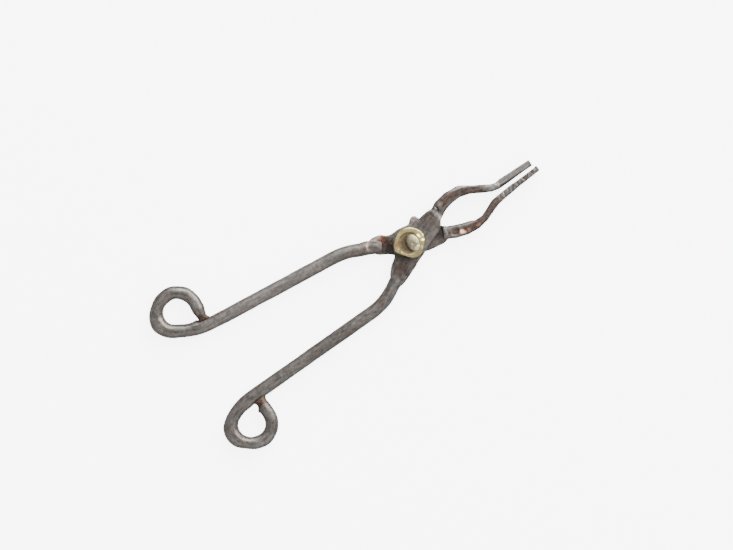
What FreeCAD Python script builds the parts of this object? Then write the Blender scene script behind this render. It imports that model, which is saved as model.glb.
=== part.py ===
"""Small hand-forged crucible tongs at doll's-house size: two steel arms on one rivet.

Frame, in millimetres: the rivet's axis is the Z axis, the tongs lie on Z = 0 and the
jaws point along +X. Seen from above, each arm crosses the other at the rivet. The back
arm runs from the +Y handle to the -Y jaw and its boss is the lower half of the lap
joint; the front arm runs from the -Y handle to the +Y jaw and its boss is the upper half.
"""

import FreeCAD
import Part
import math
import os
from FreeCAD import Vector

# ---- driving dimensions ----
ROD_D = 1.6                    # the steel rod that both arms are forged from
ROD_R = ROD_D / 2
ROD_Z = ROD_R                  # the rods lie on the ground, so their axis is this high
HANDLE_R = 0.77                # radius of the rod where it is drawn out a little, as a handle

LAP_GAP = 0.03                 # running gap between faces that slide on each other
HEAD_T = 0.15                  # rivet's low back head, which also lifts the boss off the ground
BACK_BOSS_Z = (HEAD_T, 0.785)
FRONT_BOSS_Z = (BACK_BOSS_Z[1] + LAP_GAP, 1.45)
BOSS_EDGE = 0.1                # rounding of the hammered bosses' edges

PIN_R = 0.6                    # rivet shank
TIGHT = 0.01                   # radial gap where the rivet is held
RUNNING = 0.03                 # radial gap where an arm turns on the rivet
HOLE_L = 4 * ROD_D             # length of the cylinder cut out for the rivet, past both faces
HEAD_R = 1.15                  # rivet's back head
HEAD_BEVEL = HEAD_T / 3

ROVE_CENTRE = (-0.27, 0.17)    # the brass rove sits off the rivet's axis
ROVE_R = 2.1                   # to the outside of its rolled rim
ROVE_FLOOR_R = 1.36            # flat dished floor inside the rim
ROVE_FLOOR_T = 0.18
ROVE_RIM_T = 0.52              # height of the rim
ROVE_ROLL = 0.1                # how far the rolled rim's flanks bow, against the rim's width
ROVE_Z = FRONT_BOSS_Z[1] + LAP_GAP

PEEN_CENTRE = (0.2, -0.04)     # the rivet's end is hammered over to one side
PEEN_HALF = (0.8, 1.12)        # half width and half length of the hammered end
PEEN_T = 0.46
PEEN_CROWN = 0.27              # rounding of the hammered end's upper edge
CENTRE_POP = (0.12, 0.1)       # radius and depth of the punch mark in the rivet's end

BRAZE_END_R = 0.64             # braze at a handle's eye: radius at the rod's end ...
BRAZE_FOOT_R = 0.95            # ... and where it spreads on the shank
BRAZE_SINK = 1.05              # how far its foot reaches down the side of the shank
BRAZE_Z = (0.1, 1.5)           # its lowest and highest point

TINY = 1e-6                    # for comparing positions

# ---- routes of the handles: from the boss, along the shank and round the eye ----
# Each is the corners of the rod's centreline in plan, and the bend radius at each corner.
BACK_HANDLE = [(-3.3, 1.68), (-7.86, 3.66), (-28.2, 5.13), (-32.12, 7.2),
               (-32.03, 10.66), (-26.65, 11.14), (-27.03, 6.5)]
BACK_BENDS = [9.0, 9.0, 2.1, 2.35, 2.6]
FRONT_HANDLE = [(-3.4, -2.34), (-6.8, -4.5), (-28.8, -5.57), (-31.68, -6.96),
                (-31.55, -10.46), (-26.54, -11.08), (-26.52, -7.05)]
FRONT_BENDS = [8.0, 8.0, 2.2, 2.25, 2.3]

# ---- jaws: x and y of the centreline, width in plan, height, corner radius ----
BACK_JAW = [
    (4.0, -1.05, 1.6, 1.6, 0.55),
    (5.4, -1.67, 1.6, 1.6, 0.5),
    (6.8, -2.12, 1.46, 1.58, 0.42),
    (8.2, -2.38, 1.06, 1.5, 0.32),
    (9.4, -2.2, 0.86, 1.44, 0.26),
    (10.6, -1.68, 0.83, 1.4, 0.22),
    (11.6, -1.25, 0.79, 1.36, 0.2),
    (12.8, -1.07, 0.7, 1.32, 0.16),
    (15.6, -0.75, 0.64, 1.28, 0.14),
    (18.35, -0.47, 0.6, 1.24, 0.14),
]
FRONT_JAW = [
    (4.3, 1.3, 1.64, 1.6, 0.55),
    (5.5, 2.02, 1.62, 1.6, 0.5),
    (6.9, 2.35, 1.52, 1.58, 0.42),
    (8.3, 2.34, 1.3, 1.52, 0.32),
    (9.6, 1.87, 1.02, 1.46, 0.26),
    (10.97, 1.1, 0.86, 1.4, 0.22),
    (12.1, 0.53, 0.72, 1.36, 0.2),
    (12.9, 0.35, 0.7, 1.34, 0.16),
    (13.6, 0.43, 0.8, 1.32, 0.14),
    (15.8, 0.48, 0.8, 1.28, 0.14),
    (17.9, 0.53, 0.76, 1.24, 0.14),
]

# ---- hammered bosses: closed outlines in plan ----
BACK_BOSS = [
    (-4.6, 1.5), (-3.45, 0.56), (-2.62, -0.05), (-2.15, -1.0), (-1.1, -1.8),
    (0.7, -1.7), (1.5, -1.9), (2.6, -2.06), (4.2, -1.93), (4.75, -1.1), (4.35, -0.24),
    (3.3, 0.45), (2.5, 1.3), (2.36, 2.2), (1.8, 2.68), (1.0, 2.24), (0.0, 2.36),
    (-1.2, 2.34), (-2.15, 2.46), (-3.0, 2.96), (-4.1, 3.1),
]
FRONT_BOSS = [
    (-4.6, -2.28), (-3.55, -1.12), (-2.7, -0.36), (-2.36, 0.5), (-1.85, 1.5),
    (-0.9, 2.16), (0.4, 2.22), (1.9, 2.08), (3.2, 2.24), (4.5, 2.28), (5.15, 1.75),
    (4.66, 0.66), (4.1, -0.2), (3.0, -0.8), (1.8, -1.24), (0.7, -1.86),
    (-0.9, -2.46), (-2.3, -3.2), (-3.5, -3.6), (-4.5, -3.62),
]


def plan(x, y, z=0.0):
    """A point in plan, at a height."""
    return Vector(x, y, z)


def route(corners, radii, z):
    """A wire through the corners, each rounded by a tangent arc."""
    points = [plan(x, y, z) for x, y in corners]
    edges = []
    start = points[0]
    for before, corner, after, radius in zip(points, points[1:], points[2:], radii):
        back = (before - corner).normalize()
        ahead = (after - corner).normalize()
        half_turn = (math.pi - back.getAngle(ahead)) / 2
        run = radius * math.tan(half_turn)
        arc_start = corner + back * run
        arc_end = corner + ahead * run
        to_centre = (back + ahead).normalize()
        sagitta_point = corner + to_centre * (radius / math.cos(half_turn) - radius)
        edges.append(Part.LineSegment(start, arc_start).toShape())
        edges.append(Part.Arc(arc_start, sagitta_point, arc_end).toShape())
        start = arc_end
    edges.append(Part.LineSegment(start, points[-1]).toShape())
    return Part.Wire(edges)


def rod(corners, radii, radius):
    """Round rod along a route."""
    path = route(corners, radii, ROD_Z)
    start = path.Edges[0].valueAt(path.Edges[0].FirstParameter)
    heading = path.Edges[0].tangentAt(path.Edges[0].FirstParameter)
    section = Part.Wire(Part.Circle(start, heading, radius).toShape())
    return path.makePipeShell([section], True, False)


def rounded_rectangle(centre, across, width, height, radius):
    """A rounded rectangle standing upright, its width along the direction across."""
    up = Vector(0, 0, 1)
    half_w = width / 2 - radius
    half_h = height / 2 - radius
    diagonal = radius * math.sqrt(0.5)
    edges = []
    corners = [(1, 1), (-1, 1), (-1, -1), (1, -1)]
    for i, (sx, sz) in enumerate(corners):
        hub = centre + across * (sx * half_w) + up * (sz * half_h)
        side = hub + across * (sx * radius)
        top = hub + up * (sz * radius)
        middle = hub + across * (sx * diagonal) + up * (sz * diagonal)
        first, last = (side, top) if i % 2 == 0 else (top, side)
        edges.append(Part.Arc(first, middle, last).toShape())
    sides = []
    for arc, following in zip(edges, edges[1:] + edges[:1]):
        sides.append(arc)
        sides.append(Part.LineSegment(arc.Vertexes[-1].Point, following.Vertexes[0].Point).toShape())
    return Part.Wire(sides)


def jaw(stations):
    """A jaw with flat hammered sides, through upright sections square to its centreline."""
    points = [plan(x, y, ROD_Z) for x, y, *_ in stations]
    sections = []
    for i, (x, y, width, height, radius) in enumerate(stations):
        heading = (points[min(i + 1, len(points) - 1)] - points[max(i - 1, 0)]).normalize()
        across = Vector(-heading.y, heading.x, 0)
        sections.append(rounded_rectangle(points[i], across, width, height, radius))
    return Part.makeLoft(sections, True, True)


def plate(outline, z_range):
    """A hammered plate: a smooth closed outline, extruded, with its long edges rounded."""
    curve = Part.BSplineCurve()
    curve.interpolate([plan(x, y, z_range[0]) for x, y in outline], PeriodicFlag=True)
    face = Part.Face(Part.Wire(curve.toShape()))
    solid = face.extrude(Vector(0, 0, z_range[1] - z_range[0]))
    rims = [edge for edge in solid.Edges if edge.isClosed()]
    return solid.makeFillet(BOSS_EDGE, rims).Solids[0]


def rivet_hole(radius):
    """The cylinder that is cut out of an arm or the rove to make room for the rivet."""
    return Part.makeCylinder(radius, HOLE_L, Vector(0, 0, -ROD_D))


def arm(handle, bends, jaw_stations, boss_outline, boss_z, hole_r):
    """One arm: eye, shank, boss and jaw, forged from a single rod, with the rivet's hole."""
    pieces = [jaw(jaw_stations), plate(boss_outline, boss_z)]
    forged = rod(handle, bends, HANDLE_R).multiFuse(pieces)
    return forged.cut(rivet_hole(hole_r))


def rivet():
    """Rivet: low flat back head, shank, and an end hammered over into an oval."""
    head = Part.makeCylinder(HEAD_R, HEAD_T)
    head = head.makeChamfer(HEAD_BEVEL, [e for e in head.Edges if e.BoundBox.ZMax < TINY])
    floor_z = ROVE_Z + ROVE_FLOOR_T
    shank = Part.makeCylinder(PIN_R, floor_z)
    oval = Part.Ellipse(Vector(0, 0, 0), PEEN_HALF[1], PEEN_HALF[0])
    oval.rotate(FreeCAD.Placement(Vector(0, 0, 0), FreeCAD.Rotation(Vector(0, 0, 1), 90)))
    end = Part.Face(Part.Wire(oval.toShape())).extrude(Vector(0, 0, PEEN_T))
    crown = [e for e in end.Edges if e.BoundBox.ZMin > PEEN_T - TINY]
    end = end.makeFillet(PEEN_CROWN, crown)
    end.translate(Vector(*PEEN_CENTRE, floor_z))
    pop_r, pop_depth = CENTRE_POP
    pop_top = floor_z + PEEN_T
    pop = Part.makeCone(0, pop_r, pop_depth, Vector(*PEEN_CENTRE, pop_top - pop_depth))
    return head.multiFuse([shank, end]).cut(pop).removeSplitter()


def rove():
    """Brass rove: a dished washer with a rolled rim, under the rivet's hammered end."""
    rim_w = ROVE_R - ROVE_FLOOR_R
    bow = rim_w * ROVE_ROLL
    bottom = Vector(0, 0, 0)
    foot = Vector(ROVE_R - bow, 0, 0)
    outside = Vector(ROVE_R, 0, ROVE_RIM_T / 2)
    top = Vector(ROVE_FLOOR_R + rim_w / 2, 0, ROVE_RIM_T)
    inside = Vector(ROVE_FLOOR_R, 0, ROVE_FLOOR_T)
    middle = Vector(0, 0, ROVE_FLOOR_T)
    shoulder_out = (outside + top) / 2 + Vector(bow, 0, bow)
    shoulder_in = (inside + top) / 2 + Vector(-bow, 0, bow)
    profile = Part.Wire([
        Part.LineSegment(bottom, foot).toShape(),
        Part.LineSegment(foot, outside).toShape(),
        Part.Arc(outside, shoulder_out, top).toShape(),
        Part.Arc(top, shoulder_in, inside).toShape(),
        Part.LineSegment(inside, middle).toShape(),
        Part.LineSegment(middle, bottom).toShape(),
    ])
    solid = Part.Face(profile).revolve(Vector(0, 0, 0), Vector(0, 0, 1), 360)
    solid.translate(Vector(*ROVE_CENTRE, ROVE_Z))
    return solid.cut(rivet_hole(PIN_R + TIGHT))


def eye_braze(handle, bends):
    """Braze that fills between the rod's end and the shank, closing a handle's eye."""
    end = plan(*handle[-1], ROD_Z)
    towards = (end - plan(*handle[-2], ROD_Z)).normalize()
    bead = Part.makeCone(BRAZE_END_R, BRAZE_FOOT_R, BRAZE_SINK, end, towards)
    lower, upper = BRAZE_Z
    reach = 2 * BRAZE_FOOT_R
    corner = Vector(end.x - reach, end.y - reach, lower)
    slab = Part.makeBox(2 * reach, 2 * reach, upper - lower, corner)
    return bead.common(slab).cut(rod(handle, bends, HANDLE_R))


def main():
    solids = {
        "back_arm": arm(BACK_HANDLE, BACK_BENDS, BACK_JAW, BACK_BOSS, BACK_BOSS_Z, PIN_R + TIGHT),
        "front_arm": arm(FRONT_HANDLE, FRONT_BENDS, FRONT_JAW, FRONT_BOSS, FRONT_BOSS_Z, PIN_R + RUNNING),
        "rivet": rivet(),
        "brass_rove": rove(),
        "back_eye_braze": eye_braze(BACK_HANDLE, BACK_BENDS),
        "front_eye_braze": eye_braze(FRONT_HANDLE, FRONT_BENDS),
    }
    os.makedirs("parts", exist_ok=True)
    for name, shape in solids.items():
        print(f"{name}: {len(shape.Solids)} solid, valid {shape.isValid()}, {shape.Volume:.3f} mm3")
        shape.exportStep(f"parts/{name}.step")


main()
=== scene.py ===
"""Small forged crucible tongs, with the marks of the hammer, the file and the brazing torch.

The two arms start as copies of the CAD arms. They are remeshed into fine even quads,
hammered, filed and notched in mesh code, and painted through vertex masks that their
materials read. The rivet, the brass rove and the two brazed joints are built from rings.
All shaping is done in millimetres; a finished piece is scaled to metres at the end.
"""

import itertools
import math

import bpy
import numpy as np
from mathutils import Matrix, Vector


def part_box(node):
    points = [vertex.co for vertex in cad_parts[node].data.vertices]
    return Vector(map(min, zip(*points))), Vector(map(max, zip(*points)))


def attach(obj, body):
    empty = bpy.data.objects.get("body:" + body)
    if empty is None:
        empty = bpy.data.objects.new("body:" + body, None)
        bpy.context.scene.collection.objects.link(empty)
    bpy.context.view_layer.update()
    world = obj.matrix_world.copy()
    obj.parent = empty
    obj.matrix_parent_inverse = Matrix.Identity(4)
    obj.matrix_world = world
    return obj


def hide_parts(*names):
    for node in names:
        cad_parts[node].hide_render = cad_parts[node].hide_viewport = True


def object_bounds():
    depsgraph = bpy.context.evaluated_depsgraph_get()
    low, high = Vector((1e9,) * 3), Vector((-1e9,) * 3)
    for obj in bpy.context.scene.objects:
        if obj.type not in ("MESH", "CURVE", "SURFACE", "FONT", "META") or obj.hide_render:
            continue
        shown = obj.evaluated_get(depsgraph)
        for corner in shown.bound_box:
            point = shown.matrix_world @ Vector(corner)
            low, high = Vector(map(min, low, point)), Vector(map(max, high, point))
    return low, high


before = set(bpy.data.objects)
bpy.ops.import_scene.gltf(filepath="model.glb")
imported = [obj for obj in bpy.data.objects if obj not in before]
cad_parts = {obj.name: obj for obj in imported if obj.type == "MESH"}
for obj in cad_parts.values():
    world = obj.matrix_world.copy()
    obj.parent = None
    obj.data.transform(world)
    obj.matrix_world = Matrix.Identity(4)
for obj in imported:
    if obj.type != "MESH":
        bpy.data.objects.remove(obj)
cad_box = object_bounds()

MM = 0.001
SCENE = bpy.context.scene

# ---- places on the tongs, in millimetres in the row frame ----
LAP_Z = 0.8                      # height of the joint between the two bosses
LAP_SKIN = (0.12, 0.35)          # a boss may be worked again this far from the joint
BOSS_REACH = (4.6, 5.4)          # the bosses' sliding faces end this far from the rivet's axis
ARM_VOXEL = 0.068                # size of the arms' quads
BORE_CLEAR = 1.0                 # the arms aren't worked nearer than this to the rivet's axis
BLOW_REACH = 1.0                 # a blow doesn't touch what stands further above it
BLOW_LIMIT = 1.3                 # nor does it move the surface by more than its depth times this
BLOW_WIDTHS = (0.6, 1.3)         # a blow's width and depth vary between these shares
BLOW_DEPTHS = (0.4, 1.2)
BLOWS = ((170, 0.03, 0.8), (260, 0.013, 0.32))               # how many, how deep, how wide
EYE_END = -25.5                  # the eyes are beyond this X
HANDLE_END = (-6.5, -4.5)        # the handles run into the bosses between these
FAR_LIMBS = ((-32.0, 8.3), (-31.5, -8.6))     # the eyes' far sides, where the rod is thickest
FAR_LIMB_SIZE = (3.0, 3.4)
NECK_START = (10.0, 11.5)        # each jaw turns into its straight tip between these X
NECK_END = (14.0, 15.5)
TIP_OUTSIDE = (14.5, 16.0)       # a tip's outer side is thicker from here on
TIP_MEETING = (14.5, 17.0)       # and its inner side meets the other tip's, when the jaws close
SIDEWAYS = (0.1, 0.5)            # the Y of a normal, on a face that looks to the side
# each rod's end at its eye: place, and the share of its thickness that's left
ROD_ENDS = ((-27.03, 6.5, 0.78), (-26.52, -7.05, 0.92))
# where each arm bulges away from an even rod: place, size, and how far it moves
BACK_BULGES = ((-32.9, 8.3, 2.2, -0.16, 0.0), (-31.6, 10.8, 2.0, 0.08, -0.09),
               (-28.6, 11.5, 2.0, 0.02, 0.1), (-26.8, 10.3, 1.8, 0.08, 0.08),
               (-28.7, 10.0, 1.4, 0.02, 0.08),
               (-28.1, 6.1, 1.4, 0.0, 0.14), (-4.7, 3.15, 1.4, 0.0, 0.16),
               (-2.7, 2.8, 1.3, 0.06, 0.13), (-4.4, 1.1, 1.3, 0.0, -0.13),
               (1.75, 2.6, 0.9, 0.02, 0.13), (4.4, -0.35, 0.7, 0.03, 0.12),
               (1.4, 2.5, 0.6, -0.05, 0.06), (2.15, 2.5, 0.6, 0.07, 0.06),
               (7.6, -1.6, 1.2, 0.0, 0.09), (18.35, -0.25, 0.36, 0.0, 0.09))
FRONT_BULGES = ((-32.5, -8.2, 2.4, -0.14, 0.05), (-31.2, -10.6, 2.4, 0.16, 0.2),
                (-32.2, -6.9, 1.6, -0.1, 0.06),
                (-28.6, -11.6, 2.0, 0.0, -0.08), (-27.9, -6.5, 1.6, 0.0, -0.13),
                (-3.3, -0.9, 1.7, -0.09, 0.1), (-3.5, -3.9, 1.9, -0.03, -0.14),
                (-1.0, -2.8, 1.3, 0.0, -0.12), (8.8, 2.8, 1.2, 0.04, 0.1))
JAW_THIN = 12.0                  # the jaws are too thin to hammer, beyond this X
FRONT_TIP_START = 13.1
BACK_TIP_START = 12.3
BACK_TIP_END = 18.1
BACK_TIP_LINE = (12.8, -1.08, 0.105)          # X and Y of a place on its middle, and its slope

# ---- how much thicker than the CAD the arms are, in millimetres ----
SWELL = 0.045                    # all over
EYE_SWELL = 0.02                 # more in the eyes
HANDLE_SWELL = 0.045             # more in the handles
HANDLE_SHIFT = 0.04              # and they lie this much nearer to -Y
FAR_LIMB_SWELL = 0.16            # more on the eyes' far sides
NECK_SWELL = 0.06                # more where a jaw turns into its tip
TIP_SWELL = 0.04                 # more on a tip's outer side

# ---- the way the steel was drawn out, from the end at the eye to the jaw's tip ----
BACK_GRAIN = [(-27.0, 6.4), (-26.9, 9.2), (-27.6, 10.3), (-29.3, 10.9), (-31.2, 10.1),
              (-32.1, 8.6), (-31.5, 6.9), (-28.2, 5.1), (-7.9, 3.7), (-3.3, 1.7), (0.0, 0.2),
              (4.2, -1.1), (8.2, -2.4), (11.8, -1.2), (18.4, -0.5)]
FRONT_GRAIN = [(-26.5, -7.0), (-26.5, -9.2), (-27.3, -10.4), (-29.0, -10.9), (-30.8, -10.2),
               (-31.7, -8.4), (-31.0, -6.6), (-28.8, -5.6), (-6.8, -4.5), (-3.4, -2.3), (0.0, 0.0),
               (4.3, 1.3), (7.6, 2.4), (9.6, 1.9), (12.6, 0.4), (17.9, 0.5)]

# ---- what is on the steel ----
# Each patch is a kind, a strength, and then a blob's place, length, width and angle in plan,
# or an arc's with the angles where it starts and ends and its thickness.
FRONT_PATCHES = [
    ("scale", 0.6, 3.1, 1.0, 2.7, 2.6, 20),
    ("scale", 0.9, -2.6, -1.6, 4.2, 3.4, 40),
    ("scale", 0.2, -4.6, -3.0, 1.6, 1.8, 35),
    ("scale", 0.3, -15.0, -5.0, 9.0, 2.4, 2),
    # painted shade: a darker patch that dims the window's reflection on the front eye's inner left
    # side
    ("scale", 0.6, -31.1, -8.3, 0.9, 1.8, 0),
    ("brown", 1.0, 7.2, 2.25, 3.8, 1.2, 0),
    ("brown", 0.85, 9.8, 1.4, 5.6, 1.1, -30),
    ("brown", 0.4, 3.2, 1.4, 2.4, 1.6, 10),
    ("brown", 0.7, -2.9, -1.9, 2.2, 1.7, 35),
    ("brown", 0.5, -7.2, -4.4, 1.3, 0.7, 30),
    # painted shade round the rove's foot on the boss
    ("shade_and_soot", 0.5, -2.0, -0.9, 1.5, 2.2, 40),
    ("shade_and_soot", 0.3, -3.0, -2.0, 2.0, 1.6, 35),
    ("shade_and_soot", 0.15, 8.0, 2.1, 4.6, 1.3, -15),
    # painted shade in the crack at the leaf shape's edge
    ("shade_and_soot", 0.9, 5.05, 1.9, 0.22, 1.0, -15),
    # a filed strip along the jaw's outer edge, lightened further as a painted highlight
    ("filed_and_highlight", 1.0, 8.4, 2.85, 4.0, 0.45, -12),
    # the leaf shape's filed edge, lightened as a painted highlight where it faces the window
    ("filed_and_highlight", 0.6, 3.0, 0.9, 3.5, 3.6, 0, -60, 55, 0.09),
    ("filed_and_highlight", 0.7, 12.3, 0.45, 0.6, 0.35, -30),
    ("filed_and_highlight", 0.5, 0.2, 2.0, 1.4, 0.35, 0),
    ("filed_and_highlight", 0.3, 5.6, 2.3, 0.9, 0.7, 10),
    ("filed_and_highlight", 0.5, 15.5, 0.5, 8.2, 2.4, 0),
    # painted light: lighter patches on the front eye's sides
    ("filed_and_highlight", 0.25, -28.7, -10.9, 3.4, 1.4, 0),
    ("filed_and_highlight", 0.2, -32.0, -8.4, 0.9, 2.6, 0),
    ("copper", 0.25, 12.9, 0.45, 0.4, 0.6, -20),
    # painted shade along the tip's inner bevel
    ("shade_and_soot", 0.35, 15.5, 0.06, 9.5, 0.8, 2),
    ("shade_and_soot", 0.4, -23.2, -5.2, 1.2, 0.7, 0),
    ("brown", 0.8, -26.6, -6.8, 1.7, 1.3, 0),
    ("shade_and_soot", 0.5, -26.6, -6.5, 1.9, 0.8, 0),
    ("scale", 0.25, 15.5, 0.1, 9.5, 0.7, 2),
    ("scale", 0.5, 11.4, 1.1, 2.8, 0.7, -30),
    # painted shade: another darker patch that dims the same reflection
    ("scale", 0.5, -31.0, -8.5, 0.8, 1.9, 0),
]
BACK_PATCHES = [
    ("scale", 0.3, 1.2, -1.9, 3.4, 0.9, 0),
    ("filed_and_highlight", 0.25, -17.0, 4.4, 24.0, 3.0, 0),
    # painted light: lighter patches on the back eye's sides
    ("filed_and_highlight", 0.3, -32.6, 8.6, 1.4, 3.4, 0),
    ("filed_and_highlight", 0.35, -27.1, 8.5, 0.8, 2.4, 0),
    ("rust", 0.9, -2.85, 2.35, 1.9, 1.15, -42),
    ("rust", 0.6, -2.75, 1.6, 1.3, 1.0, -40),
    ("scale", 0.8, -3.1, 1.25, 2.4, 1.5, -30),
    # painted shade in the low ground left of the rove, below the shoulder
    ("shade_and_soot", 0.75, -2.7, 0.8, 2.0, 1.9, -30),
    ("shade_and_soot", 0.3, -2.2, 1.9, 0.8, 1.0, 30),
    # painted shade on the low boss, beside the front boss and the jaw's shoulder
    ("shade_and_soot", 0.4, 3.75, -0.95, 1.6, 1.3, 30),
    ("shade_and_soot", 0.6, 4.25, -0.45, 0.7, 0.5, 0),
    # painted highlight: a light, partly coppery line round the shoulder's facet
    ("filed_and_highlight", 0.6, -4.3, 2.2, 1.6, 1.7, 0, 60, 200, 0.13),
    ("copper", 0.2, -4.3, 2.2, 1.6, 1.7, 0, 60, 200, 0.13),
    ("scale", 0.35, -4.2, 2.2, 1.4, 1.3, 0),
    ("filed_and_highlight", 0.3, -3.7, 1.8, 0.4, 1.0, 20),
    ("filed_and_highlight", 0.5, 4.42, -1.2, 0.35, 1.1, 0),
    ("brown", 0.9, 5.3, -1.6, 1.4, 1.0, -30),
    ("brown", 1.0, 7.4, -2.4, 2.6, 1.2, -8),
    ("brown", 0.8, 9.6, -2.1, 5.2, 1.6, 20),
    ("brown", 0.45, 11.4, -1.4, 2.8, 1.1, 20),
    ("brown", 0.5, 16.6, -0.75, 2.6, 0.35, 6),
    ("scale", 0.6, 13.6, -1.1, 1.6, 0.3, 6),
    ("scale", 0.5, 16.2, -0.5, 1.8, 0.25, 6),
    ("scale", 0.3, 15.2, -0.85, 7.0, 1.2, 6),
    ("filed_and_highlight", 0.6, 18.0, -0.5, 0.5, 0.4, 6),
    ("copper", 1.0, 6.05, -2.2, 0.85, 0.55, -25),
    ("copper", 0.2, 6.8, -2.35, 0.7, 0.42, -20),
    ("copper", 0.3, 8.3, -2.45, 0.6, 0.4, 0),
    ("filed_and_highlight", 1.0, 1.8, 2.4, 1.2, 1.1, 0),
    ("copper", 0.3, 1.75, 2.4, 0.7, 0.9, 0),
    ("filed_and_highlight", 0.3, 13.4, -0.95, 1.6, 0.8, 6),
    ("brown", 0.8, -27.1, 6.2, 1.6, 1.2, 0),
    ("shade_and_soot", 0.55, -27.1, 5.95, 2.4, 0.7, -5),
    ("brown", 0.5, -3.55, 2.1, 1.5, 1.4, -40),
    ("brown", 0.4, 17.0, -0.75, 1.9, 1.0, 6),
    ("scale", 0.3, -15.0, 4.2, 4.5, 1.0, 4),
    ("copper", 1.0, 6.1, -2.1, 0.6, 0.6, 0),
]

# ---- the rove, and the marks on it ----
ROVE_BORE = 0.62
ROVE_TURNS = 48
# radius against the outer radius, and height against the rove's height; None is the bore
ROVE_PROFILE = [(None, 0.0), (0.6, 0.0), (0.88, 0.0), (0.97, 0.12), (1.0, 0.45), (0.985, 0.8),
                (0.93, 0.97), (0.84, 1.0), (0.76, 0.95), (0.69, 0.82), (0.61, 0.6), (0.53, 0.4),
                (0.45, 0.32), (None, 0.32)]
# the outside of the rim as it was rolled, every 20 degrees from +X, against the outer radius
ROVE_ROLLED = [1.01, 1.0, 0.98, 0.965, 0.95, 0.935, 0.9, 0.895, 0.975,
               0.99, 0.85, 0.79, 0.85, 0.95, 0.96, 0.925, 0.9, 0.935]
ROVE_BLEND = 9                   # that outline is smoothed over this many degrees each way
# dents across the rim: place in degrees, depth, and half width in radians
ROVE_DENTS = ((188, 0.16, 0.09), (318, 0.04, 0.14), (232, 0.06, 0.1), (20, 0.05, 0.12))
ROVE_FLATS = ((1.42, -0.4), (1.22, 0.42))     # places that were knocked flat
ROVE_OPEN_SIDE = math.radians(345)            # the dish is shallow on this side

# ---- the rivet ----
PEEN_X, PEEN_Y, PEEN_Z = 0.23, -0.06, 1.66    # the hammered end's middle, where it's widest
PEEN_HALF_X, PEEN_HALF_Y = 0.87, 1.18         # and its half widths
# back head and shank: radius and height
SHANK_PROFILE = [(0.3, 0), (1.08, 0), (1.13, 0.03), (1.15, 0.12), (1.12, 0.15), (0.64, 0.15),
                 (0.6, 0.2), (0.6, PEEN_Z - 0.02)]
# the hammered end: share of its half width, and of its height
PEEN_PROFILE = [(0.9, 0.0), (1.02, 0.05), (1.03, 0.2), (0.95, 0.42), (0.81, 0.65),
                (0.62, 0.84), (0.42, 0.96), (0.26, 1.0), (0.14, 0.98), (0.07, 0.91)]

# ---- the studio, in metres ----
FLOOR_HALF = 1.5
FLOOR_DROP = 0.00001             # the floor lies this far below the tongs
FLOOR_GLOW = 6.0                 # brighter floors show a jagged edge around the tongs
ROOM_LIGHT = 0.84

# ---- camera ----
VIEW_WIDTH = 91.74 * MM          # width of the picture, at the tongs
VIEW_AIM = Vector((-6.9, -0.31, 0.8)) * MM
VIEW_TURN = math.radians(-32.4)  # the tongs' length runs up to the right
VIEW_DISTANCE = 0.32
SENSOR_WIDTH = 36.0


# ======== numbers and points ========

def read_points(mesh):
    flat = np.empty(len(mesh.vertices) * 3)
    mesh.vertices.foreach_get("co", flat)
    return flat.reshape(-1, 3)


def read_normals(mesh):
    flat = np.empty(len(mesh.vertices) * 3)
    mesh.vertices.foreach_get("normal", flat)
    return flat.reshape(-1, 3)


def write_points(mesh, points):
    mesh.vertices.foreach_set("co", points.ravel())
    mesh.update()


def smooth_step(low, high, values):
    t = np.clip((values - low) / (high - low), 0, 1)
    return t * t * (3 - 2 * t)


def noise(points, size, seed):
    """Smooth random values from -1 to 1, with features about size across."""
    table_side = 32
    table = np.random.default_rng(seed).uniform(-1, 1, (table_side,) * 3)
    place = points / size
    cell = np.floor(place).astype(int)
    part = place - cell
    part = part * part * (3 - 2 * part)
    total = np.zeros(len(points))
    for corner in itertools.product((0, 1), repeat=3):
        corner = np.array(corner)
        index = (cell + corner) % table_side
        weight = np.prod(np.where(corner == 1, part, 1 - part), axis=1)
        total += weight * table[index[:, 0], index[:, 1], index[:, 2]]
    return total


def in_ellipse(points, x, y, length, width, angle):
    """Each point's place along and across an ellipse in plan, both 1 at its outline."""
    turn = math.radians(angle)
    dx, dy = points[:, 0] - x, points[:, 1] - y
    along = (dx * math.cos(turn) + dy * math.sin(turn)) / (length / 2)
    across = (dy * math.cos(turn) - dx * math.sin(turn)) / (width / 2)
    return along, across


def blob(points, x, y, length, width, angle=0.0):
    """1 at a place in plan, fading to 0 over an ellipse of that length and width."""
    along, across = in_ellipse(points, x, y, length, width, angle)
    return np.exp(-(along ** 2 + across ** 2))


def turned(angles, start):
    """Angles measured from a start, between minus and plus half a turn."""
    return (angles - start + math.pi) % (2 * math.pi) - math.pi


def arc(points, x, y, length, width, angle, start, end, thick):
    """1 along part of an ellipse's outline, from one angle to another, thick in proportion."""
    along, across = in_ellipse(points, x, y, length, width, angle)
    middle, half = math.radians((start + end) / 2), math.radians((end - start) / 2)
    away = np.abs(turned(np.arctan2(across, along), middle))
    line = np.exp(-((np.hypot(along, across) - 1) / thick) ** 2)
    return line * (1 - smooth_step(half * 0.8, half * 1.2, away))


def grain(points, route):
    """For each point, how far along the route it is, its offset from it, and its height."""
    nearest = np.full(len(points), np.inf)
    result = np.column_stack((nearest, nearest, points[:, 2]))
    passed = 0.0
    for start, end in zip(np.array(route), np.array(route[1:])):
        run = end - start
        length = np.hypot(*run)
        offset = points[:, :2] - start
        t = np.clip(offset @ run / length ** 2, 0, 1)
        distance = np.linalg.norm(offset - np.outer(t, run), axis=1)
        side = (run[0] * offset[:, 1] - run[1] * offset[:, 0]) / length
        closer = distance < nearest
        nearest[closer] = distance[closer]
        result[closer, 0] = passed + t[closer] * length
        result[closer, 1] = side[closer]
        passed += length
    return result


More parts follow.
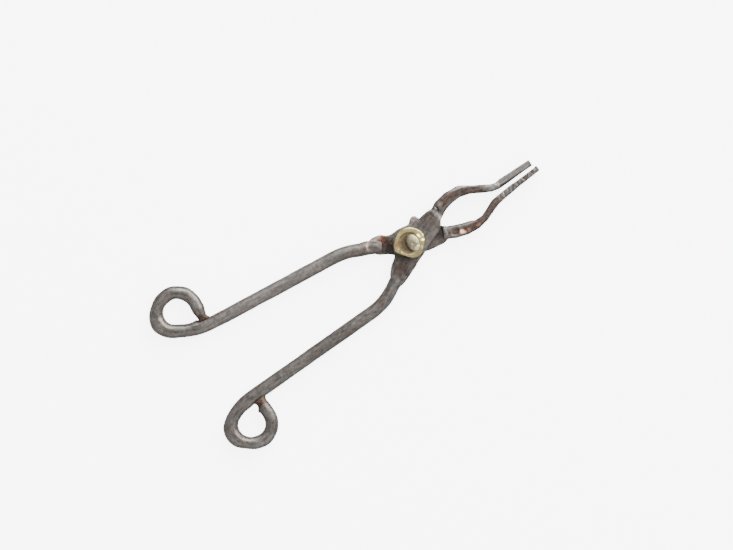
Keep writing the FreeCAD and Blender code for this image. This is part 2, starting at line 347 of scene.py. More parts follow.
def ragged(points, mask, seed, size=0.5):
    """The mask with an uneven edge, as a worn or flaking patch has."""
    return smooth_step(0.3, 0.65, mask + 0.35 * noise(points, size, seed))


# ======== mesh building ========

def add_object(name, mesh):
    piece = bpy.data.objects.new(name, mesh)
    SCENE.collection.objects.link(piece)
    return piece


def apply_modifiers(piece):
    """Gives the object the mesh that its modifiers make, and removes them."""
    bpy.context.view_layer.update()
    shown = piece.evaluated_get(bpy.context.evaluated_depsgraph_get())
    mesh = bpy.data.meshes.new_from_object(shown)
    piece.modifiers.clear()
    piece.data = mesh
    mesh.name = piece.name


def relax(mesh, rounds, share=0.5, where=1.0):
    """Evens the surface out: each point moves towards the middle of its neighbours. Where
    is a share for each point."""
    ends = np.empty(len(mesh.edges) * 2, int)
    mesh.edges.foreach_get("vertices", ends)
    first, second = ends.reshape(-1, 2).T
    points = read_points(mesh)
    count = np.bincount(ends, minlength=len(points))[:, None]
    share = share * np.broadcast_to(where, len(points))[:, None]
    for _ in range(rounds):
        total = np.empty_like(points)
        for axis in range(3):
            total[:, axis] = np.bincount(first, points[second, axis], len(points))
            total[:, axis] += np.bincount(second, points[first, axis], len(points))
        points += share * (total / count - points)
    write_points(mesh, points)


def copy_of_cad(node, name):
    """A piece in millimetres with a CAD node's shape, in even quads."""
    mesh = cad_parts[node].data.copy()
    mesh.materials.clear()
    mesh.transform(Matrix.Scale(1 / MM, 4))
    piece = add_object(name, mesh)
    shell = piece.modifiers.new("even quads", "REMESH")
    shell.mode = "VOXEL"
    shell.voxel_size = ARM_VOXEL
    apply_modifiers(piece)
    return piece


def skin_rings(name, rings, closed):
    """A mesh through a list of rings of points. Closed joins the last ring to the first;
    otherwise each end ring is capped."""
    turns = len(rings[0])
    points = [tuple(p) for ring in rings for p in ring]
    faces = []
    for i in range(len(rings) if closed else len(rings) - 1):
        low, high = i * turns, (i + 1) % len(rings) * turns
        for j in range(turns):
            k = (j + 1) % turns
            faces.append((low + j, low + k, high + k, high + j))
    if not closed:
        faces.append(tuple(range(turns))[::-1])
        faces.append(tuple(range(len(points) - turns, len(points))))
    mesh = bpy.data.meshes.new(name)
    mesh.from_pydata(points, [], faces)
    return add_object(name, mesh)


def subdivide(piece, levels):
    finer = piece.modifiers.new("finer", "SUBSURF")
    finer.levels = levels
    finer.render_levels = levels
    apply_modifiers(piece)


def mark(mesh, name, values):
    """Stores a mask from 0 to 1 on the mesh's points, for the material to read."""
    layer = mesh.attributes.new(name, "FLOAT", "POINT")
    layer.data.foreach_set("value", np.clip(values, 0, 1).astype(np.float32))


def finish_piece(piece, body, slot, material, *nodes):
    """Scales a piece to metres, and gives it its body and material; the CAD nodes it stands in for
    are hidden. The slot is not used.
    """
    piece.data.transform(Matrix.Scale(MM, 4))
    piece.data.shade_smooth()
    piece.data.materials.clear()
    piece.data.materials.append(material)
    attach(piece, body)
    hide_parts(*nodes)


# ======== forging marks ========

def away_from_lap(points, boss_on_top):
    """0 on the sliding faces and in the rivet's hole, and 1 where an arm may be worked."""
    radius = np.hypot(points[:, 0], points[:, 1])
    outside = smooth_step(BORE_CLEAR, BORE_CLEAR + 0.5, radius)
    side = points[:, 2] - LAP_Z if boss_on_top else LAP_Z - points[:, 2]
    on_boss = 1 - smooth_step(*BOSS_REACH, radius)
    sliding = on_boss * (1 - smooth_step(*LAP_SKIN, side))
    return outside * (1 - sliding)


def hammer(points, normals, free, blows, depth, width, rng):
    """Each blow flattens a small area, square to the surface where it lands."""
    for _ in range(blows):
        spot = rng.integers(len(points))
        up = normals[spot]
        offset = points - points[spot]
        height = offset @ up
        spread = np.linalg.norm(offset - np.outer(height, up), axis=1)
        reach = np.exp(-(spread / (width * rng.uniform(*BLOW_WIDTHS))) ** 4) * free
        reach *= np.abs(height) < BLOW_REACH
        dent = depth * rng.uniform(*BLOW_DEPTHS)
        points -= np.outer(np.clip(height + dent, 0, BLOW_LIMIT * dent) * reach, up)


def flatten(points, free, x, y, z, up, width, share=1.0):
    """One heavy blow or file cut: a flat at a place, facing along up."""
    up = np.array(up) / np.linalg.norm(up)
    offset = points - np.array((x, y, z))
    height = offset @ up
    spread = np.linalg.norm(offset - np.outer(height, up), axis=1)
    reach = np.exp(-(spread / width) ** 6) * free * share * (height < BLOW_REACH)
    points -= np.outer(np.maximum(height, 0) * reach, up)


def push(points, x, y, size, dx, dy):
    """Moves the metal around a place in plan by dx and dy."""
    share = blob(points, x, y, size, size)
    points[:, 0] += dx * share
    points[:, 1] += dy * share


def raise_top(points, x, y, length, width, height):
    """Brings the top up to a height, around a place in plan."""
    upper = smooth_step(0.45, 0.7, points[:, 2])
    lift = np.maximum(height - points[:, 2], 0) * blob(points, x, y, length, width) * upper
    points[:, 2] += lift


def narrow_end(points, x, y, share):
    """Draws the rod's end at an eye in, to a share of its thickness."""
    along = (points[:, 1] - y) * math.copysign(1, y)
    near = (1 - smooth_step(0, 0.9, along)) * smooth_step(-0.45, -0.1, along)
    near *= np.hypot(points[:, 0] - x, points[:, 1] - y) < 1.3
    centre = np.array((x, 0, LAP_Z))
    for axis in (0, 2):
        points[:, axis] += (centre[axis] - points[:, axis]) * (1 - share) * near


def groove(points, start, end, width, depth):
    """A narrow mark cut down into the top, along a line in plan."""
    a, b = np.array(start), np.array(end)
    run = b - a
    t = np.clip(((points[:, :2] - a) @ run) / (run @ run), 0, 1)
    distance = np.linalg.norm(points[:, :2] - a - np.outer(t, run), axis=1)
    top = smooth_step(0.5, 1.0, points[:, 2])
    points[:, 2] -= depth * np.exp(-(distance / (width / 2)) ** 2) * top


def notch_tip(points):
    """Uneven marks across the top of the back arm's tip, one after another."""
    rng = np.random.default_rng(5)
    line_x, line_y, slope = BACK_TIP_LINE
    x = BACK_TIP_START
    while x < BACK_TIP_END:
        lean, below, above = rng.uniform((-0.3, 0.1, 0.1), (0.3, 0.5, 0.5))
        middle = line_y + (x - line_x) * slope
        groove(points, (x - lean, middle - below), (x + lean, middle + above), 0.16,
               rng.uniform(0.03, 0.14))
        x += rng.uniform(0.15, 0.6)


def thicker(points, normals, eye, handle, boss_on_top, seed):
    """How far each point of an arm moves out from the CAD's surface."""
    x = points[:, 0]
    outwards = normals[:, 1] if boss_on_top else -normals[:, 1]
    far_limb = sum(blob(points, *place, *FAR_LIMB_SIZE) for place in FAR_LIMBS)
    swell = 0.02 * noise(points, 2.6, seed) + 0.008 * noise(points, 0.7, seed + 1)
    swell += SWELL + EYE_SWELL * eye + HANDLE_SWELL * handle + FAR_LIMB_SWELL * far_limb
    swell += NECK_SWELL * smooth_step(*NECK_START, x) * (1 - smooth_step(*NECK_END, x))
    # the tips' inner sides meet when the jaws close, so nothing is added to them
    meeting = smooth_step(*TIP_MEETING, x) * smooth_step(*SIDEWAYS, -outwards)
    swell -= meeting * np.maximum(swell, 0)
    swell += TIP_SWELL * smooth_step(*TIP_OUTSIDE, x) * smooth_step(*SIDEWAYS, outwards)
    return swell


def forge(piece, boss_on_top, bulges, seed):
    """Rounds an arm's corners, makes its thickness uneven and hammers it all over."""
    mesh = piece.data
    relax(mesh, 5)
    points = read_points(mesh)
    for bulge in bulges:
        push(points, *bulge)
    write_points(mesh, points)
    normals = read_normals(mesh)
    free = away_from_lap(points, boss_on_top)
    eye = 1 - smooth_step(EYE_END - 1, EYE_END + 1, points[:, 0])
    handle = (1 - eye) * (1 - smooth_step(*HANDLE_END, points[:, 0]))
    tip = smooth_step(JAW_THIN - 2, JAW_THIN + 1, points[:, 0])
    swell = thicker(points, normals, eye, handle, boss_on_top, seed)
    points += normals * (swell * free)[:, None]
    points[:, 1] -= HANDLE_SHIFT * handle
    for x, y, share in ROD_ENDS:
        narrow_end(points, x, y, share)
    worked = free * (1 - 0.8 * tip) * (1 - 0.5 * eye)
    rng = np.random.default_rng(seed)
    for blows, depth, width in BLOWS:
        hammer(points, normals, worked, blows, depth, width, rng)
    write_points(mesh, points)
    return points, free


def end_forging(piece):
    """Takes the marks' edges down a little, as scale and wear do."""
    points = read_points(piece.data)
    points[:, 2] = np.maximum(points[:, 2], cad_box[0].z / MM)
    write_points(piece.data, points)
    relax(piece.data, 1, 0.4)
    return read_points(piece.data)


def edge_wear(mesh):
    """Where the surface is sharply convex, from 0 to 1."""
    soft = mesh.copy()
    relax(soft, 2)
    proud = ((read_points(mesh) - read_points(soft)) * read_normals(mesh)).sum(axis=1)
    bpy.data.meshes.remove(soft)
    return smooth_step(0.004, 0.016, proud)


# ======== materials ========

STEEL_MASKS = ("scale", "brown", "rust", "filed_and_highlight", "copper", "shade_and_soot")


class Shader:
    """A material's nodes, built with short calls."""

    def __init__(self, name):
        self.material = bpy.data.materials.new(name)
        self.material.use_nodes = True
        self.nodes = self.material.node_tree.nodes
        self.links = self.material.node_tree.links
        self.bsdf = self.nodes["Principled BSDF"]
        place = self.nodes.new("ShaderNodeTexCoord").outputs["Object"]
        scale = self.nodes.new("ShaderNodeMapping")
        scale.inputs["Scale"].default_value = (1 / MM,) * 3
        self.links.new(place, scale.inputs["Vector"])
        self.place = scale.outputs["Vector"]

    def noise(self, size, detail=3.0, rough=0.55):
        """Random values of about 0.3 to 0.7, with features about size mm across."""
        node = self.nodes.new("ShaderNodeTexNoise")
        node.inputs["Scale"].default_value = 1 / size
        node.inputs["Detail"].default_value = detail
        node.inputs["Roughness"].default_value = rough
        self.links.new(self.place, node.inputs["Vector"])
        return node.outputs["Fac"]

    def streaks(self, size, stretch, detail):
        """Random values in streaks along the steel's grain, stretch times as long as wide."""
        place = self.nodes.new("ShaderNodeAttribute")
        place.attribute_name = "grain"
        scale = self.nodes.new("ShaderNodeMapping")
        scale.inputs["Scale"].default_value = (1 / stretch, 1, 1)
        self.links.new(place.outputs["Vector"], scale.inputs["Vector"])
        node = self.nodes.new("ShaderNodeTexNoise")
        node.inputs["Scale"].default_value = 1 / size
        node.inputs["Detail"].default_value = detail
        self.links.new(scale.outputs["Vector"], node.inputs["Vector"])
        return node.outputs["Fac"]

    def mask(self, name):
        node = self.nodes.new("ShaderNodeAttribute")
        node.attribute_name = name
        return node.outputs["Fac"]

    def spread(self, value, low, high, out_low=0.0, out_high=1.0):
        node = self.nodes.new("ShaderNodeMapRange")
        for key, number in zip(("From Min", "From Max", "To Min", "To Max"),
                               (low, high, out_low, out_high)):
            node.inputs[key].default_value = number
        self.links.new(value, node.inputs["Value"])
        return node.outputs["Result"]

    def math(self, operation, *values):
        node = self.nodes.new("ShaderNodeMath")
        node.operation = operation
        for socket, value in zip(node.inputs, values):
            if isinstance(value, (int, float)):
                socket.default_value = value
            else:
                self.links.new(value, socket)
        return node.outputs["Value"]

    def mix(self, factor, first, second):
        """A colour between two, each a colour or another node's colour."""
        node = self.nodes.new("ShaderNodeMix")
        node.data_type = "RGBA"
        self.links.new(factor, node.inputs["Factor"])
        for key, value in (("A", first), ("B", second)):
            socket = [s for s in node.inputs if s.name == key and s.type == "RGBA"][0]
            if isinstance(value, tuple):
                socket.default_value = (*value, 1)
            else:
                self.links.new(value, socket)
        return [s for s in node.outputs if s.type == "RGBA"][0]

    def bump(self, height, distance, strength, below=None):
        """Bumps of distance mm over another bump's normal, if there is one."""
        node = self.nodes.new("ShaderNodeBump")
        node.inputs["Distance"].default_value = distance * MM
        node.inputs["Strength"].default_value = strength
        self.links.new(height, node.inputs["Height"])
        if below:
            self.links.new(below, node.inputs["Normal"])
        return node.outputs["Normal"]

    def feed(self, **sockets):
        """Links or sets the surface shader's own sockets."""
        for key, value in sockets.items():
            socket = self.bsdf.inputs[key.replace("_", " ")]
            if isinstance(value, (int, float)):
                socket.default_value = value
            else:
                self.links.new(value, socket)
        return self.material


def forged_steel():
    """Dull mottled steel with remains of copper and rust, filed bright areas with painted
    highlights, and painted shade with soot.
    """
    s = Shader("forged steel")
    broad = s.spread(s.noise(1.7, 2.0), 0.4, 0.6)
    fine = s.spread(s.noise(0.35, 5.0, 0.65), 0.36, 0.64)
    drawn = s.spread(s.streaks(0.28, 5.0, 4.0), 0.36, 0.64)
    mottle = s.math("MULTIPLY_ADD", fine, 0.55, s.math("MULTIPLY", drawn, 0.45))
    grey = s.mix(mottle, (0.07, 0.064, 0.058), (0.188, 0.18, 0.167))
    warm = s.mix(mottle, (0.073, 0.06, 0.052), (0.19, 0.161, 0.146))
    colour = s.mix(broad, grey, warm)
    olive = s.spread(s.noise(1.1, 3.0), 0.58, 0.68, 0, 0.7)
    colour = s.mix(olive, colour, (0.1, 0.102, 0.085))
    pits = s.spread(s.noise(0.16, 4.0, 0.6), 0.6, 0.7, 0, 0.7)
    colour = s.mix(pits, colour, (0.045, 0.04, 0.037))
    dark = s.mix(mottle, (0.036, 0.03, 0.027), (0.1, 0.086, 0.079))
    colour = s.mix(s.mask("scale"), colour, dark)
    burnt = s.mix(mottle, (0.033, 0.022, 0.017), (0.135, 0.096, 0.079))
    flecks = s.spread(s.noise(0.24, 3.0), 0.57, 0.66, 0, 0.6)
    burnt = s.mix(flecks, burnt, (0.17, 0.082, 0.056))
    colour = s.mix(s.mask("brown"), colour, burnt)
    colour = s.mix(s.mask("rust"), colour,
                   s.mix(fine, (0.034, 0.014, 0.01), (0.13, 0.056, 0.028)))
    # filed bright metal, which also carries painted highlights along some edges and painted light
    # on the eyes' sides
    colour = s.mix(s.mask("filed_and_highlight"), colour,
                   s.mix(mottle, (0.16, 0.147, 0.138), (0.38, 0.36, 0.345)))
    colour = s.mix(s.mask("copper"), colour,
                   s.mix(fine, (0.32, 0.15, 0.09), (0.92, 0.52, 0.33)))
    colour = s.mix(s.mask("worn"), colour, (0.36, 0.345, 0.33))
    # painted shade: near-black in the hollows beside the rove and the bosses, in the crack and on
    # the tip's bevel, with soot by the brazed joints
    colour = s.mix(s.mask("shade_and_soot"), colour, (0.02, 0.016, 0.014))
    bare = s.spread(s.mask("bare"), 0, 1, 0.5, 0.36)
    rough = s.math("ADD", bare, s.spread(mottle, 0, 1, -0.06, 0.1))
    normal = s.bump(s.noise(0.5, 4.0), 0.03, 0.5)
    normal = s.bump(drawn, 0.008, 0.5, normal)
    normal = s.bump(s.noise(0.09, 4.0, 0.7), 0.012, 0.5, normal)
    return s.feed(Base_Color=colour, Roughness=rough, Normal=normal, Metallic=0.8)


def rove_brass():
    """Yellow brass with tarnish and painted shade in its dish, dull with painted shade on the side
    away from the window, and rubbed bright with painted highlights on the side towards it.
    """
    s = Shader("rove brass")
    broad = s.spread(s.noise(0.8, 3.0), 0.4, 0.6)
    fine = s.spread(s.noise(0.16, 5.0, 0.65), 0.35, 0.65)
    bright = s.mix(fine, (0.48, 0.4, 0.15), (0.68, 0.57, 0.25))
    dull = s.mix(fine, (0.32, 0.26, 0.11), (0.52, 0.43, 0.21))
    colour = s.mix(broad, dull, bright)
    # painted shade: duller, darker brass on the side away from the window
    colour = s.mix(s.mask("dull"), colour,
                   s.mix(fine, (0.15, 0.12, 0.065), (0.31, 0.25, 0.15)))
    # rubbed brass with painted highlights
    colour = s.mix(s.mask("polish_and_highlight"), colour, (0.9, 0.74, 0.28))
    # tarnish in the dish, with painted shade in the recess on the side away from the window
    colour = s.mix(s.mask("tarnish_and_shade"), colour,
                   s.mix(fine, (0.062, 0.047, 0.027), (0.14, 0.108, 0.062)))
    colour = s.mix(s.mask("copper"), colour, (0.19, 0.105, 0.05))
    rough = s.math("MULTIPLY_ADD", s.mask("tarnish_and_shade"), 0.3, s.spread(fine, 0, 1, 0.3, 0.48))
    normal = s.bump(s.noise(0.35, 4.0), 0.04, 0.5)
    normal = s.bump(s.noise(0.07, 4.0, 0.7), 0.01, 0.5, normal)
    return s.feed(Base_Color=colour, Roughness=rough, Normal=normal, Metallic=0.9)


def rivet_metal():
    """Soft grey-gold metal, rough from the hammer."""
    s = Shader("rivet metal")
    fine = s.spread(s.noise(0.2, 5.0, 0.65), 0.35, 0.65)
    colour = s.mix(fine, (0.23, 0.2, 0.125), (0.42, 0.37, 0.25))
    # tarnish, with painted shade on the side away from the window
    colour = s.mix(s.mask("tarnish_and_shade"), colour, (0.12, 0.095, 0.057))
    # rubbed metal and a painted highlight
    colour = s.mix(s.mask("polish_and_highlight"), colour, (0.7, 0.62, 0.4))
    rough = s.spread(fine, 0, 1, 0.34, 0.52)
    normal = s.bump(s.noise(0.3, 3.0), 0.05, 0.6)
    normal = s.bump(s.noise(0.06, 4.0, 0.7), 0.01, 0.5, normal)
    return s.feed(Base_Color=colour, Roughness=rough, Normal=normal, Metallic=0.85)


def dark_braze():
    """Burnt brown braze with a few coppery flecks."""
    s = Shader("dark braze")
    fine = s.spread(s.noise(0.22, 5.0, 0.65), 0.36, 0.64)
    colour = s.mix(fine, (0.028, 0.017, 0.012), (0.09, 0.058, 0.042))
    flecks = s.spread(s.noise(0.3, 2.0), 0.62, 0.7, 0, 0.5)
    colour = s.mix(flecks, colour, (0.24, 0.12, 0.08))
    rough = s.spread(fine, 0, 1, 0.4, 0.65)
    normal = s.bump(s.noise(0.18, 4.0, 0.6), 0.03, 0.7)
    return s.feed(Base_Color=colour, Roughness=rough, Normal=normal, Metallic=0.6)


# ======== pieces ========

def paint_arm(piece, points, patches, route, seed):
    """Stores the arm's masks and its grain. A patch's shape is a blob's five numbers, or an
    arc's eight."""
    mesh = piece.data
    masks = {kind: np.zeros(len(points)) for kind in STEEL_MASKS}
    facing_up = smooth_step(0.1, 0.6, read_normals(mesh)[:, 2])
    for i, (kind, strength, *shape) in enumerate(patches):
        spot = blob(points, *shape) if len(shape) == 5 else arc(points, *shape)
        spot = ragged(points, spot, seed + i) * strength
        if kind == "copper" or len(shape) > 5:
            spot *= facing_up
        masks[kind] = np.maximum(masks[kind], spot)
    masks["bare"] = 1 - smooth_step(EYE_END - 2, EYE_END + 2, points[:, 0])
    rubbed = smooth_step(-0.2, 0.5, noise(points, 0.9, seed + 50))
    masks["worn"] = edge_wear(mesh) * rubbed * 0.4
    for kind, values in masks.items():
        mark(mesh, kind, values)
    layer = mesh.attributes.new("grain", "FLOAT_VECTOR", "POINT")
    layer.data.foreach_set("vector", grain(points, route).astype(np.float32).ravel())


def front_arm(material):
    """The arm whose boss is on top: handle at -Y, jaw at +Y, plain filed tip."""
    piece = copy_of_cad("front_arm", "front_arm_forged")
    points, free = forge(piece, True, FRONT_BULGES, 11)
    # the handle flattens out into the boss
    flatten(points, free, -3.9, -2.7, 1.47, (0.07, 0, 1), 1.5)
    # a bevel runs down from the boss's leaf shape to the start of the jaw
    flatten(points, free, 4.7, 1.3, 1.4, (0.3, -0.08, 0.95), 0.62)
    flatten(points, free, 5.8, 2.15, 1.53, (-0.06, 0.1, 1), 0.4, 0.6)
    write_points(piece.data, points)
    relax(piece.data, 16, 0.5, blob(points, 5.15, 1.7, 1.3, 2.4) * free)
    points = read_points(piece.data)
    tip = smooth_step(FRONT_TIP_START - 0.15, FRONT_TIP_START + 0.1, points[:, 0])
    # the tip is filed flat on top, with a bevel along its inner edge
    flatten(points, tip, 15.5, 0.5, 1.42, (0, 0.03, 1), 3.6)
    flatten(points, tip, 15.5, 0.14, 1.3, (0, -1, 0.75), 3.6)
    # the leaf shape's edge at the jaw, and a nick where the tip starts
    groove(points, (4.9, 2.3), (5.14, 1.5), 0.13, 0.13)
    groove(points, (12.95, 0.9), (12.9, 0.55), 0.22, 0.1)
    # a small burr on the rod's end
    push(points, -27.3, -7.5, 0.5, -0.2, 0)
    write_points(piece.data, points)
    relax(piece.data, 40, 0.5, blob(points, -3.7, -2.9, 2.4, 2.4) * free)
    points = end_forging(piece)
    paint_arm(piece, points, FRONT_PATCHES, FRONT_GRAIN, 100)
    finish_piece(piece, "front_half", "forged_steel", material, "front_arm")


def back_arm(material):
    """The arm whose boss is underneath: handle at +Y, jaw at -Y, notched tip."""
    piece = copy_of_cad("back_arm", "back_arm_forged")
    points, free = forge(piece, False, BACK_BULGES, 23)
    # the shoulder is upset to an oval facet, and slopes down to the boss
    raise_top(points, -4.1, 2.65, 1.9, 1.2, 1.4)
    flatten(points, free, -4.3, 2.25, 1.42, (0.12, -0.05, 1), 0.72)
    flatten(points, free, -3.15, 2.1, 1.24, (0.45, -0.05, 0.9), 1.0)
    # the jaw starts with a small diamond facet
    flatten(points, free, 5.3, -1.6, 1.46, (0.1, -0.15, 1), 0.6)
    flatten(points, free, 6.3, -2.1, 1.48, (0.2, 0.1, 1), 0.5)
    notch_tip(points)
    write_points(piece.data, points)
    relax(piece.data, 60, 0.5, blob(points, -3.35, 1.75, 2.1, 2.8) * free)
    relax(piece.data, 25, 0.5, blob(points, -4.4, 1.3, 2.0, 1.2, -35) * free)
    points = end_forging(piece)
    paint_arm(piece, points, BACK_PATCHES, BACK_GRAIN, 200)
    finish_piece(piece, "back_half", "forged_steel", material, "back_arm")


def ring(x, y, z, radius_x, radius_y, turns):
    angles = np.arange(turns) * (2 * math.pi / turns)
    return np.column_stack((x + radius_x * np.cos(angles),
                            y + radius_y * np.sin(angles),
                            np.full(turns, z)))


def rove_rings(low, high, outer):
    """The washer's section all the way round, with its bore on the rivet's axis."""
    centre = (low + high) / 2
    rings = []
    for share, rise in ROVE_PROFILE:
        z = low.z + (high.z - low.z) * rise
        if share is None:
            rings.append(ring(0, 0, z, ROVE_BORE, ROVE_BORE, ROVE_TURNS))
        else:
            rings.append(ring(centre.x, centre.y, z, outer * share, outer * share, ROVE_TURNS))
    return rings


def rolled_outline(angle):
    """How far out the rim was rolled in each direction, against the outer radius."""
    degrees = np.arange(360)
    places = np.arange(len(ROVE_ROLLED)) * (360 / len(ROVE_ROLLED))
    outline = np.interp(degrees, places, ROVE_ROLLED, period=360)
    turns = range(-ROVE_BLEND, ROVE_BLEND + 1)
    outline = sum(np.roll(outline, turn) for turn in turns) / len(turns)
    return np.interp(np.degrees(angle), degrees, outline, period=360)


def roll_rim(points, centre, angle, rim, upper):
    """Makes the rim uneven, in plan and in height, and dents it."""
    grow = 1 + (rolled_outline(angle) - 1) * rim
    points[:, 0] = centre.x + (points[:, 0] - centre.x) * grow
    points[:, 1] = centre.y + (points[:, 1] - centre.y) * grow
    waves = 0.04 * np.cos(2 * angle - 0.4) + 0.03 * np.cos(5 * angle) - 0.07
    points[:, 2] += upper * rim * waves
    for place, depth, width in ROVE_DENTS:
        away = turned(angle, math.radians(place))
        points[:, 2] -= depth * np.exp(-(away / width) ** 2) * rim * upper


def paint_rove(mesh, points, angle, reach, rise, open_side):
    """Stores the rove's masks. Reach is 1 at its outer radius, and rise is 1 at its top."""
    # painted shade: the dark dish reaches further out on the side away from the window
    away_from_window = smooth_step(0.2, 0.9, -np.cos(angle - math.radians(20)))
    dish = 1 - smooth_step(0.42 + 0.18 * away_from_window, 0.74 + 0.1 * away_from_window, reach)
    # the side towards the window; the rim is painted lighter on it and darker on the other side
    lit_side = smooth_step(-0.1, 0.7, np.cos(angle - math.radians(35)))
    # painted shade under the rim's inner wall, on the side away from the window
    shaded_inner_edge = np.exp(-((reach - 0.62) / 0.09) ** 2)
    shaded_inner_edge *= smooth_step(0.2, 0.9, np.cos(angle - math.radians(75)))
    # tarnish in the dish with painted shade, mostly on the side away from the window and least
    # where the dish is shallow
    mark(mesh, "tarnish_and_shade", np.maximum(dish * (1 - 0.85 * open_side), 0.9 * shaded_inner_edge))
    # painted shade: the rim is duller and darker on the side away from the window
    mark(mesh, "dull", (1 - dish) * (1 - lit_side) * 0.45)
    crown = smooth_step(0.8, 0.98, rise)
    # painted sheen on the crown of the rim, on the window's side
    rubbed = smooth_step(0.0, 0.6, noise(points, 0.6, 33)) * lit_side * 0.35
    # painted highlights where the rim catches the window, and a lighter spot on the rim's left
    bright = blob(points, 1.35, 0.4, 0.5, 0.35) + blob(points, 1.4, -0.35, 0.6, 0.3, 60)
    bright += 0.3 * blob(points, -2.0, 0.4, 0.9, 0.9)
    mark(mesh, "polish_and_highlight", crown * rubbed + bright)
    mark(mesh, "copper", ragged(points, blob(points, -1.45, 0.75, 0.7, 0.9), 34, 0.3) * 0.7)


def brass_rove(material):
    """A dished washer whose rim was rolled over by hand, so that it is never quite round."""
    low, high = (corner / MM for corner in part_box("brass_rove"))
    centre = (low + high) / 2
    outer = (high.x - low.x) / 2
    height = high.z - low.z
    piece = skin_rings("rove_rolled", rove_rings(low, high, outer), True)
    subdivide(piece, 2)
    mesh = piece.data
    points = read_points(mesh)
    dx, dy = points[:, 0] - centre.x, points[:, 1] - centre.y
    angle, reach = np.arctan2(dy, dx) % (2 * math.pi), np.hypot(dx, dy) / outer
    rim = smooth_step(0.6, 0.85, reach)
    upper = smooth_step(0.25, 0.6, (points[:, 2] - low.z) / height)
    roll_rim(points, centre, angle, rim, upper)
    # the dish slopes up to the rim on its open side
    open_side = np.exp(-turned(angle, ROVE_OPEN_SIDE) ** 2 / 0.5)
    slope = smooth_step(0.4, 0.6, reach) * (1 - rim) * upper
    points[:, 2] += 0.2 * open_side * slope
    write_points(mesh, points)
    relax(mesh, 2)
    points = read_points(mesh)
    points += read_normals(mesh) * (0.022 * noise(points, 0.5, 31) * rim)[:, None]
    for x, y in ROVE_FLATS:
        flatten(points, 1.0, x, y, high.z / 1.06, (0.44, 0.25, 0.86), 0.3)
    write_points(mesh, points)
    paint_rove(mesh, points, angle, reach, (points[:, 2] - low.z) / height, open_side)
    finish_piece(piece, "back_half", "rove_brass", material, "brass_rove")


def rivet(material):
    """Back head, shank, and an end spread into an uneven oval with a punch mark in it."""
    turns = 32
    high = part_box("rivet")[1] / MM
    rise = high.z - PEEN_Z
    rings = [ring(0, 0, z, radius, radius, turns) for radius, z in SHANK_PROFILE]
    for share, lift in PEEN_PROFILE:
        rings.append(ring(PEEN_X * (0.4 + 0.6 * share), PEEN_Y, PEEN_Z + rise * lift,
                          PEEN_HALF_X * share, PEEN_HALF_Y * share, turns))
    piece = skin_rings("rivet_peened", rings, False)
    subdivide(piece, 2)
    mesh = piece.data
    points = read_points(mesh)
    normals = read_normals(mesh)
    end = smooth_step(PEEN_Z + 0.05, PEEN_Z + 0.2, points[:, 2])
    lumps = 0.035 * noise(points, 0.65, 41) + 0.012 * noise(points, 0.25, 42) - 0.02
    points += normals * (end * lumps)[:, None]
    flatten(points, end, 0.5, -0.72, PEEN_Z + 0.8 * rise, (0.44, 0.25, 0.86), 0.22)
    write_points(mesh, points)
    skirt = end * (1 - smooth_step(PEEN_Z + 0.12, PEEN_Z + 0.32, points[:, 2]))
    hole = np.exp(-(np.hypot(points[:, 0] - PEEN_X * 0.5, points[:, 1]) / 0.12) ** 2) * end
    # painted shade on the hammered end: darker towards -X and on the side away from the window,
    # over tarnish in the skirt and the punch mark
    shaded = end * smooth_step(0.0, 1.0, noise(points, 0.9, 43) + 0.4 - 0.5 * points[:, 0])
    away_from_window = end * smooth_step(-0.2, 1.1, points[:, 1] - 0.7 * points[:, 0])
    mark(mesh, "tarnish_and_shade", skirt * 0.5 + hole * 0.6 + shaded * 0.15 + away_from_window * 0.2)
    # painted highlight on the lower right of the hammered end
    mark(mesh, "polish_and_highlight", ragged(points, blob(points, 0.42, -0.78, 1.0, 0.6, 15), 44, 0.2) * end)
    finish_piece(piece, "back_half", "rivet_metal", material, "rivet")


def braze_fillet(node, name, body, gap, neck, seed, material):
    """Braze that ran between the rod's end and the shank, gap apart: narrow in the middle,
    and drawn out along the shank on both sides."""
    low, high = (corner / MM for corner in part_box(node))
    centre = (low + high) / 2
    side = 1 if centre.y > 0 else -1
    at_end = high.y if side > 0 else low.y
    turns = 32
    # share of the gap, half widths to the left and right against the neck's, half height
    profile = [(-0.5, 0.5, 0.5, 0.3), (-0.42, 0.95, 0.95, 0.58), (-0.12, 1.14, 1.14, 0.74),
               (0.12, 1.04, 1.04, 0.69), (0.4, 1.0, 1.0, 0.66), (0.68, 1.12, 1.06, 0.64),
               (0.88, 1.5, 1.15, 0.6), (1.05, 2.0, 1.4, 0.52), (1.3, 2.0, 1.4, 0.42),
               (1.5, 1.8, 1.2, 0.3)]
    rings = []
    for share, left, right, half_h in profile:
        flat = ring(0, 0, 0, neck, half_h, turns)
        flat[:, 0] *= np.where(flat[:, 0] < 0, left, right)
        y = np.full(turns, at_end - side * share * gap)
        rings.append(np.column_stack((centre.x + flat[:, 0], y, LAP_Z + flat[:, 1])))
    piece = skin_rings(name, rings[::-1] if side > 0 else rings, False)
    subdivide(piece, 2)
    mesh = piece.data
    points = read_points(mesh)
    points += read_normals(mesh) * (0.03 * noise(points, 0.4, seed))[:, None]
    points[:, 2] = np.clip(points[:, 2], low.z, high.z + 0.1)
    write_points(mesh, points)
    finish_piece(piece, body, "braze", material, node)


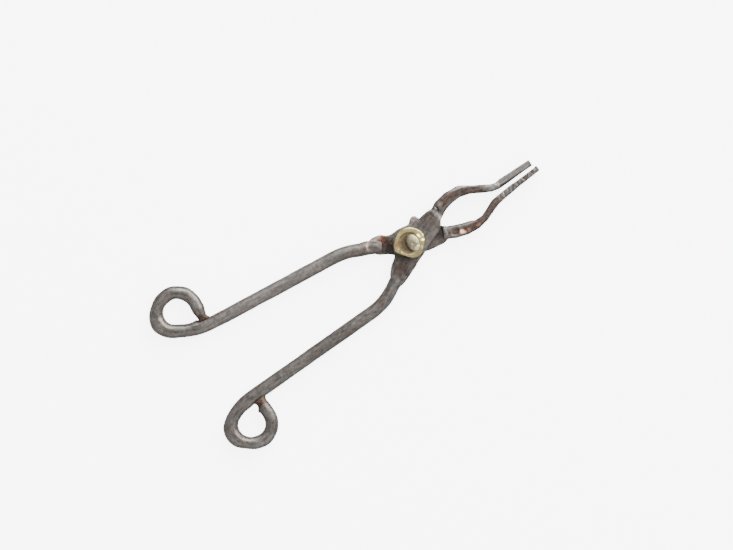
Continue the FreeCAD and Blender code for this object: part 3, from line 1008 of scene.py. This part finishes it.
def make_tongs():
    steel = forged_steel()
    braze = dark_braze()
    front_arm(steel)
    back_arm(steel)
    rivet(rivet_metal())
    brass_rove(rove_brass())
    braze_fillet("back_eye_braze", "back_eye_fillet", "back_half", 0.65, 0.6, 61, braze)
    braze_fillet("front_eye_braze", "front_eye_fillet", "front_half", 0.78, 0.7, 62, braze)


# ======== studio ========

def add_floor():
    mesh = bpy.data.meshes.new("floor")
    half, z = FLOOR_HALF, cad_box[0].z - FLOOR_DROP
    corners = [(-half, -half, z), (half, -half, z), (half, half, z), (-half, half, z)]
    mesh.from_pydata(corners, [], [(0, 1, 2, 3)])
    floor = add_object("floor", mesh)
    s = Shader("white floor")
    s.bsdf.inputs["Base Color"].default_value = (0.9, 0.9, 0.9, 1)
    s.bsdf.inputs["Emission Color"].default_value = (1, 1, 1, 1)
    mesh.materials.append(s.feed(Roughness=0.9, Emission_Strength=FLOOR_GLOW))
    floor.visible_diffuse = False
    floor.visible_glossy = False
    floor.visible_shadow = False


def add_area_light(name, place, size, power):
    data = bpy.data.lights.new(name, "AREA")
    data.shape = "RECTANGLE"
    data.size, data.size_y = size
    data.energy = power
    light = bpy.data.objects.new(name, data)
    SCENE.collection.objects.link(light)
    light.location = place
    light.rotation_euler = (-Vector(place)).to_track_quat("-Z", "Y").to_euler()


def add_light():
    world = bpy.data.worlds.new("white room")
    world.use_nodes = True
    sky = world.node_tree.nodes["Background"]
    sky.inputs["Color"].default_value = (1, 1, 1, 1)
    sky.inputs["Strength"].default_value = ROOM_LIGHT
    SCENE.world = world
    add_area_light("window", (0.42, 0.24, 0.27), (0.8, 0.42), 12.0)
    add_area_light("low fill", (-0.2, -0.5, 0.35), (0.8, 0.4), 1.2)


def add_camera():
    data = bpy.data.cameras.new("camera")
    data.sensor_width = SENSOR_WIDTH
    data.lens = SENSOR_WIDTH * VIEW_DISTANCE / VIEW_WIDTH
    data.clip_start = 0.005
    camera = bpy.data.objects.new("camera", data)
    SCENE.collection.objects.link(camera)
    camera.location = VIEW_AIM + Vector((0, 0, VIEW_DISTANCE))
    camera.rotation_euler = (0, 0, VIEW_TURN)
    SCENE.camera = camera


add_camera()
add_light()
add_floor()
make_tongs()
